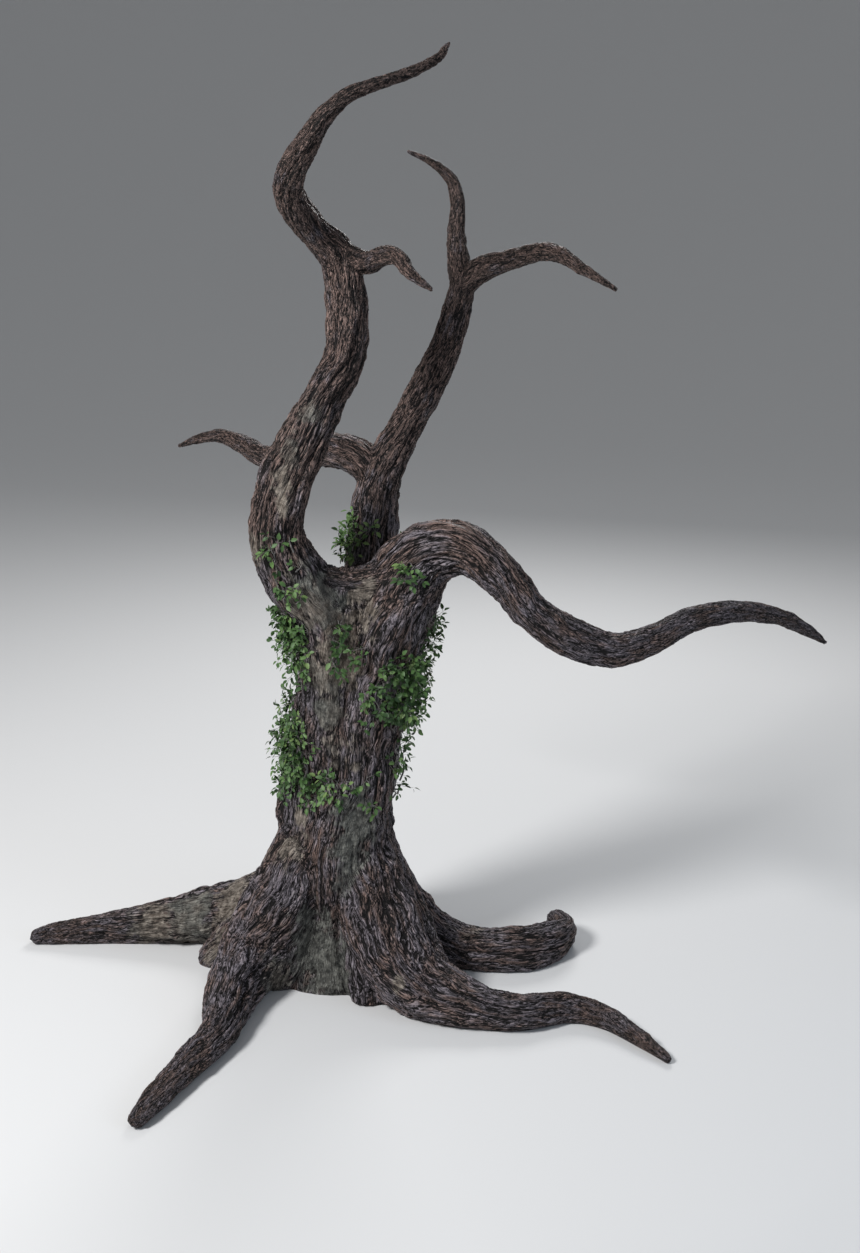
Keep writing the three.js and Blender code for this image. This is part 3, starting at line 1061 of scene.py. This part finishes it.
# %% Leaves, shoots and runners
class Sprays:
    """Leaves and stems of one mass, gathered until they are made into two pieces."""

    def __init__(self, name, shares):
        self.name = name
        self.random = random.Random(name)
        self.shares = shares
        self.stems = []
        self.points = []
        self.faces = []
        self.greens = []

    def vary(self, low, high):
        return self.random.uniform(low, high)

    def wander(self, size):
        return Vector([self.random.gauss(0, size) for _ in range(3)])

    def facing(self, out, size):
        """Where a leaf faces: half outwards and half up, and a little astray."""
        return (out * 0.75 + UP * 0.75 + self.wander(size)).normalized()

    def leaf(self, foot, way, face, length, tone):
        way = way.normalized()
        side = face.cross(way).normalized()
        top = way.cross(side)
        frame_of_leaf = np.array([way, side, top]) * length
        start = len(self.points) * len(LEAF_SHAPE)
        blade = LEAF_SHAPE + (STALK, 0, 0)
        self.points.append(blade @ frame_of_leaf + np.array(foot))
        self.faces.extend([[start + corner for corner in face_corners] for face_corners in LEAF_FACES])
        self.greens.extend([tone] * len(LEAF_FACES))

    def spray(self, foot, out, length):
        """A shoot with a leaf on each side in turn, and one at its tip."""
        tone = self.random.choices(range(4), self.shares)[0]
        way = (out + UP * self.vary(-0.5, 0.7) + self.wander(0.45)).normalized()
        place = foot.copy()
        path = [place.copy()]
        steps = max(2, round(length / SHOOT_STEP))
        bend = self.wander(0.16) - UP * self.vary(0.0, 0.2)
        for i in range(steps):
            way = (way + bend).normalized()
            place = place + way * SHOOT_STEP
            path.append(place.copy())
            hand = way.cross(out)
            hand = (hand if i % 2 else -hand) if hand.length > 0.05 else self.wander(1)
            leaf_way = way * 0.55 + hand.normalized() * 0.9 + self.wander(0.25) - UP * 0.1
            face = self.facing(out, 0.28)
            size = self.vary(*LEAF_SIZES) * (1 - 0.25 * i / steps)
            self.leaf(place, leaf_way, face, size, tone)
        face = self.facing(out, 0.2)
        self.leaf(place, way, face, self.vary(*TIP_LEAF_SIZES), tone)
        self.stems.append((path, *SHOOT_RADII))

    def old_stem(self, start, region):
        """A thick bare runner that has come away from the bark, and loops up beside it."""
        spot, normal = nearest_bark(start)
        thickness = self.vary(*OLD_RADII)
        way = UP + self.wander(0.2)
        path = []
        for i in range(OLD_STEPS):
            swing = OLD_SWING * math.sin(i * 0.45 + thickness * 5000)
            path.append(spot + normal * (OLD_HEIGHT + swing))
            way = (way + self.wander(0.22) + UP * 0.1).normalized()
            flat = (way - normal * way.dot(normal)).normalized()
            spot, normal = nearest_bark(spot + flat * STEP * 1.3)
            if i > 8 and not is_inside(region, spot + normal * EDGE):
                break
        self.stems.append((path, thickness, thickness * 0.6))

    def runner(self, start, region, thickness, density):
        """A stem that creeps up over the bark, and sends out shoots until it leaves its mass."""
        spot, normal = nearest_bark(start)
        way = UP + self.wander(0.25)
        path = []
        for i in range(MOST_STEPS):
            path.append(spot + normal * (CLING + thickness * 0.3))
            if self.random.random() < density:
                beyond = region.ray_cast(spot + normal * 0.002, normal, 0.5)
                depth = beyond[3] if beyond[3] else 0.03
                length = min(LONGEST_SHOOT, max(SHORTEST_SHOOT, depth * self.vary(0.35, 0.95)))
                self.spray(spot + normal * CLING, normal.copy(), length)
            way = (way + self.wander(0.3) + UP * 0.12).normalized()
            flat = (way - normal * way.dot(normal)).normalized()
            spot, normal = nearest_bark(spot + flat * STEP)
            if i > 4 and not is_inside(region, spot + normal * EDGE) and self.random.random() < 0.6:
                break
        if len(path) > 2:
            self.stems.append((path, thickness, thickness * 0.45))


# %% From a mass to its two pieces
TRIES = 40  # starts tried for each runner
SHADES = (30, 42, 22, 6)  # shares of the four greens, from deep to young
# painted light: the fork's mass lies in the left stem's shadow, so its leaves are dealt more of the light
# greens
PAINTED_LIGHT_GREENS = (8, 30, 42, 20)


def grow(name, runners, density, old_stems, shares=SHADES):
    """All the runners of one mass."""
    sprays = Sprays(name, shares)
    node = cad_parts[name]
    region = BVHTree.FromPolygons(
        [vertex.co for vertex in node.data.vertices], [polygon.vertices for polygon in node.data.polygons]
    )
    low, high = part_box(name)
    made = 0
    for _ in range(runners * TRIES):
        start = Vector([sprays.vary(a, b) for a, b in zip(low, high)])
        start.z = low.z + (high.z - low.z) * sprays.random.random() ** 1.6 * 0.9
        if not is_inside(region, start):
            continue
        sprays.runner(start, region, sprays.vary(*RUNNER_RADII), density)
        made += 1
        if made <= old_stems:
            sprays.old_stem(start, region)
        if made == runners:
            break
    return sprays


def make_leaves(sprays):
    mesh = bpy.data.meshes.new(sprays.name + "_leaves")
    mesh.from_pydata(np.vstack(sprays.points).tolist(), [], sprays.faces)
    for material in leaf_materials:
        mesh.materials.append(material)
    mesh.polygons.foreach_set("material_index", sprays.greens)
    mesh.shade_smooth()
    piece = bpy.data.objects.new(sprays.name + "_leaves", mesh)
    bpy.context.scene.collection.objects.link(piece)
    return piece


def make_stems(sprays):
    curve = bpy.data.curves.new(sprays.name + "_runners", "CURVE")
    curve.dimensions = "3D"
    curve.bevel_depth = 1
    curve.bevel_resolution = 0
    curve.use_fill_caps = True
    for path, thick, thin in sprays.stems:
        line = curve.splines.new("POLY")
        line.points.add(len(path) - 1)
        for i, place in enumerate(path):
            line.points[i].co = (*place, 1)
            line.points[i].radius = thick + (thin - thick) * i / (len(path) - 1)
    piece = bpy.data.objects.new(sprays.name + "_runners", curve)
    bpy.context.scene.collection.objects.link(piece)
    choose(piece)
    bpy.ops.object.convert(target="MESH")
    piece = bpy.context.object
    piece.data.materials.clear()
    piece.data.materials.append(runner_finish)
    return piece


# %% The creeper's masses
CREEPER = {  # mass: its runners, how often one sends out a shoot, its old stems, and its greens if not the usual ones, which at the fork are lighter as painted light
    "creeper_left_upper": (24, 0.34, 1),
    "creeper_left_lower": (14, 0.36, 5),
    "creeper_front": (28, 0.30, 1),
    "creeper_valley": (6, 0.26, 0),
    "creeper_right": (26, 0.30, 3),
    "creeper_right_lower": (8, 0.2, 5),
    "creeper_belt": (15, 0.26, 1),
    "creeper_fork": (14, 0.42, 1, PAINTED_LIGHT_GREENS),
    "creeper_stem": (6, 0.3, 0),
    "creeper_bough": (4, 0.26, 0),
    "creeper_back_upper": (16, 0.34, 3),
    "creeper_back_lower": (9, 0.3, 3),
}
for name, settings in CREEPER.items():
    sprays = grow(name, *settings)
    for piece in (make_leaves(sprays), make_stems(sprays)):
        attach(piece, "root")
        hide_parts(name)
    print(name, len(sprays.points), "leaves,", len(sprays.stems), "stems")
